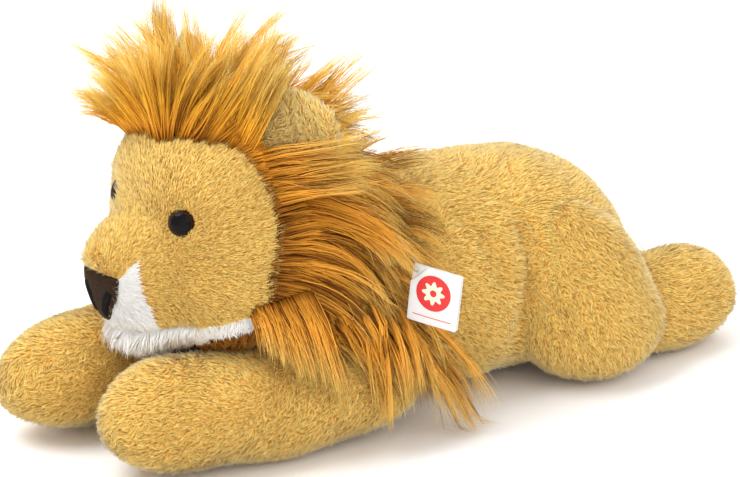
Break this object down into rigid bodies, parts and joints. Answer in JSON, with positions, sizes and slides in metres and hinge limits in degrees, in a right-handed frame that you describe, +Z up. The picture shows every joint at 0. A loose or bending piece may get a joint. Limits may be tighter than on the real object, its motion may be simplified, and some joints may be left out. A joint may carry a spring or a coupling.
{
  "type": "plush lion",
  "caption": "Stuffed toy lion lying on its belly, short golden plush with a long orange brown mane, white muzzle and a hang tag.",
  "frame": {"origin": "on the flat of the belly, on the middle line under the torso", "axes": "+Z up, the lion faces -Y, its left side is +X"},
  "size_m": [0.2291, 0.5049, 0.257],
  "materials": {
    "golden_plush": "matte",
    "white_plush": "matte",
    "mane_pile": "satin",
    "nose_velour": "matte",
    "fibre_filling": "matte",
    "eye_plastic": "polished",
    "washer_plastic": "satin",
    "tag_card": "satin",
    "tag_thread": "satin"
  },
  "bodies": {
    "torso": {"torso_skin": "golden_plush", "torso_filling": "fibre_filling", "mane_left": "mane_pile", "mane_right": "mane_pile", "mane_cape": "mane_pile", "tag_loop": "tag_thread"},
    "head": {"face_skin": "golden_plush", "muzzle_panel": "white_plush", "chin_panel": "white_plush", "head_filling": "fibre_filling", "nose": "nose_velour", "mane_crest": "mane_pile", "eye_left": "eye_plastic", "eye_right": "eye_plastic", "eye_washer_left": "washer_plastic", "eye_washer_right": "washer_plastic"},
    "tail": {"tail": "golden_plush", "tail_tassel": "mane_pile"},
    "tag": {"tag_book": "tag_card"},
    "tag_cover": {"tag_cover": "tag_card"},
    "ear_left": {"ear_left": "golden_plush"},
    "front_leg_left": {"front_leg_skin_left": "golden_plush", "front_leg_filling_left": "fibre_filling"},
    "hind_leg_left": {"thigh_skin_left": "golden_plush", "thigh_filling_left": "fibre_filling", "foot_skin_left": "golden_plush", "foot_filling_left": "fibre_filling"},
    "ear_right": {"ear_right": "golden_plush"},
    "front_leg_right": {"front_leg_skin_right": "golden_plush", "front_leg_filling_right": "fibre_filling"},
    "hind_leg_right": {"thigh_skin_right": "golden_plush", "thigh_filling_right": "fibre_filling", "foot_skin_right": "golden_plush", "foot_filling_right": "fibre_filling"}
  },
  "joints": [
    {"name": "head_nod", "type": "hinge", "parent": "torso", "child": "head", "pos_m": [0, -0.104, 0.128], "axis": [-1, 0, 0], "range_deg": [0, 8], "stiffness_Nm_per_rad": 0.6},
    {"name": "ear_left_fold", "type": "hinge", "parent": "head", "child": "ear_left", "pos_m": [0.05808, -0.0898, 0.19246], "axis": [0.7597, 0.532, -0.3739], "range_deg": [0, 15], "stiffness_Nm_per_rad": 0.02},
    {"name": "ear_right_fold", "type": "hinge", "parent": "head", "child": "ear_right", "pos_m": [-0.05808, -0.0898, 0.19246], "axis": [0.7597, -0.532, 0.3739], "range_deg": [0, 15], "stiffness_Nm_per_rad": 0.02},
    {"name": "front_leg_left_splay", "type": "hinge", "parent": "torso", "child": "front_leg_left", "pos_m": [0.062, -0.008, 0], "axis": [0, 0, 1], "range_deg": [0, 8], "stiffness_Nm_per_rad": 0.6},
    {"name": "front_leg_right_splay", "type": "hinge", "parent": "torso", "child": "front_leg_right", "pos_m": [-0.062, -0.008, 0], "axis": [0, 0, -1], "range_deg": [0, 8], "stiffness_Nm_per_rad": 0.6},
    {"name": "hind_leg_left_splay", "type": "hinge", "parent": "torso", "child": "hind_leg_left", "pos_m": [0.074, 0.09, 0], "axis": [0, 0, -1], "range_deg": [0, 8], "stiffness_Nm_per_rad": 0.6},
    {"name": "hind_leg_right_splay", "type": "hinge", "parent": "torso", "child": "hind_leg_right", "pos_m": [-0.074, 0.09, 0], "axis": [0, 0, 1], "range_deg": [0, 8], "stiffness_Nm_per_rad": 0.6},
    {"name": "tail_lift", "type": "hinge", "parent": "torso", "child": "tail", "pos_m": [0, 0.18827, 0.092], "axis": [1, 0, 0], "range_deg": [0, 60]},
    {"name": "tag_swing", "type": "hinge", "parent": "torso", "child": "tag", "pos_m": [0.1025, -0.02748, 0.12023], "axis": [0.5, -0.866, 0], "range_deg": [-20, 20]},
    {"name": "tag_open", "type": "hinge", "parent": "tag", "child": "tag_cover", "pos_m": [0.09799, -0.03055, 0.10672], "axis": [-0.0905, -0.0523, -0.9945], "range_deg": [0, 100], "stiffness_Nm_per_rad": 0.002}
  ]
}
